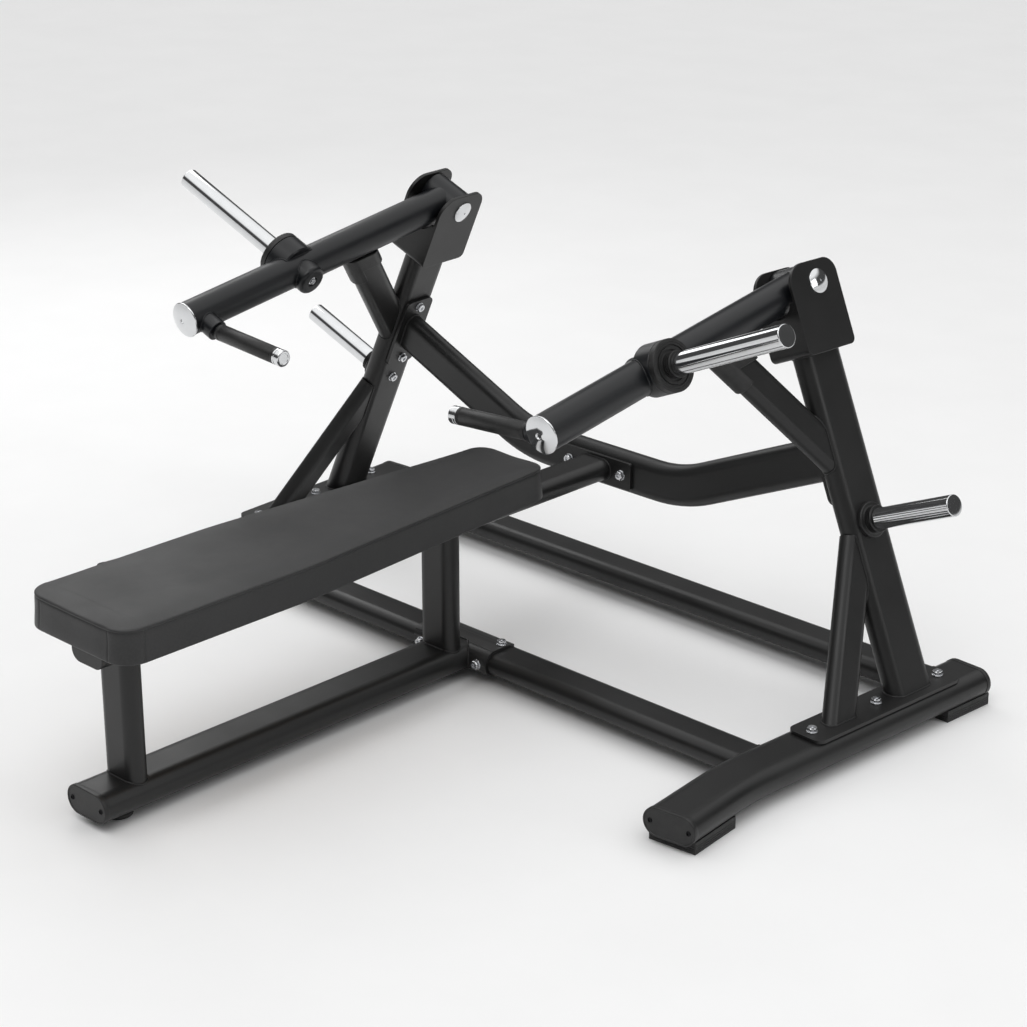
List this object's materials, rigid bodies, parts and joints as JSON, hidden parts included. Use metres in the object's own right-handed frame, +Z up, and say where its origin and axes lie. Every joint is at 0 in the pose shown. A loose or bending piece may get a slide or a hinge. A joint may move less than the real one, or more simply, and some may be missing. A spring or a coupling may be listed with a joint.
{
  "type": "chest press machine",
  "caption": "Plate-loaded flat chest press: a padded bench between two leaning side frames, each with a pivoting lever arm that carries a handle and a weight horn.",
  "frame": {"origin": "on the floor, under the middle of the machine's bounding box", "axes": "+X to the right of the lying user, +Y towards the head end, +Z up"},
  "size_m": [1.9444, 1.69, 0.9794],
  "materials": {
    "frame_paint": "satin black powder coat",
    "arm_paint": "semi-gloss black powder coat",
    "pad_vinyl": "matt black upholstery vinyl",
    "pad_board": "plain plywood",
    "end_cap_plastic": "black moulded plastic",
    "floor_rubber": "ribbed black rubber",
    "grip_rubber": "matt black rubber",
    "chrome": "polished chrome plating",
    "zinc_bolts": "bright zinc plating",
    "black_screws": "black oxide",
    "bronze_bushes": "sintered bronze"
  },
  "bodies": {
    "frame": {"bench_pad": "pad_vinyl", "bench_board": "pad_board", "bench_top_rail": "frame_paint", "top_rail_cap": "end_cap_plastic", "bench_front_leg": "frame_paint", "bench_rear_leg": "frame_paint", "bench_bottom_rail": "frame_paint", "bottom_rail_cap": "end_cap_plastic", "bench_foot": "floor_rubber", "bench_flange": "frame_paint", "bench_saddle": "frame_paint", "front_cross_tube": "frame_paint", "rear_cross_tube": "frame_paint", "upper_cross_tube": "frame_paint", "base_bolts": "zinc_bolts", "post_bolts": "zinc_bolts", "bench_bolts": "zinc_bolts", "beam_end_caps": "end_cap_plastic", "foot_pads": "floor_rubber", "cap_screws": "black_screws", "peg_flanges": "end_cap_plastic", "cross_plates": "frame_paint", "left_foot_beam": "frame_paint", "right_foot_beam": "frame_paint", "left_base_plate": "frame_paint", "right_base_plate": "frame_paint", "left_main_post": "frame_paint", "right_main_post": "frame_paint", "left_frame_leg": "frame_paint", "right_frame_leg": "frame_paint", "left_rest_brace": "frame_paint", "right_rest_brace": "frame_paint", "left_rest_bumper": "grip_rubber", "right_rest_bumper": "grip_rubber", "left_pivot_bracket": "frame_paint", "right_pivot_bracket": "frame_paint", "left_pivot_shaft": "chrome", "right_pivot_shaft": "chrome", "left_storage_peg": "chrome", "right_storage_peg": "chrome"},
    "left_arm": {"left_arm_tube": "arm_paint", "left_pivot_bushes": "bronze_bushes", "left_arm_end_cap": "chrome", "left_horn_boss": "arm_paint", "left_horn_stop": "grip_rubber", "left_weight_horn": "chrome", "left_boss_bolt": "zinc_bolts", "left_handle_bar": "arm_paint", "left_handle_grip": "grip_rubber", "left_handle_cap": "chrome"},
    "right_arm": {"right_arm_tube": "arm_paint", "right_pivot_bushes": "bronze_bushes", "right_arm_end_cap": "chrome", "right_horn_boss": "arm_paint", "right_horn_stop": "grip_rubber", "right_weight_horn": "chrome", "right_boss_bolt": "zinc_bolts", "right_handle_bar": "arm_paint", "right_handle_grip": "grip_rubber", "right_handle_cap": "chrome"}
  },
  "joints": [
    {"name": "left_arm_pivot", "type": "hinge", "parent": "frame", "child": "left_arm", "pos_m": [-0.52355, 0.65939, 0.88193], "axis": [-0.914, -0.0559, 0.4019], "range_deg": [0, 45]},
    {"name": "right_arm_pivot", "type": "hinge", "parent": "frame", "child": "right_arm", "pos_m": [0.52355, 0.65939, 0.88193], "axis": [-0.914, 0.0559, -0.4019], "range_deg": [0, 45]}
  ]
}
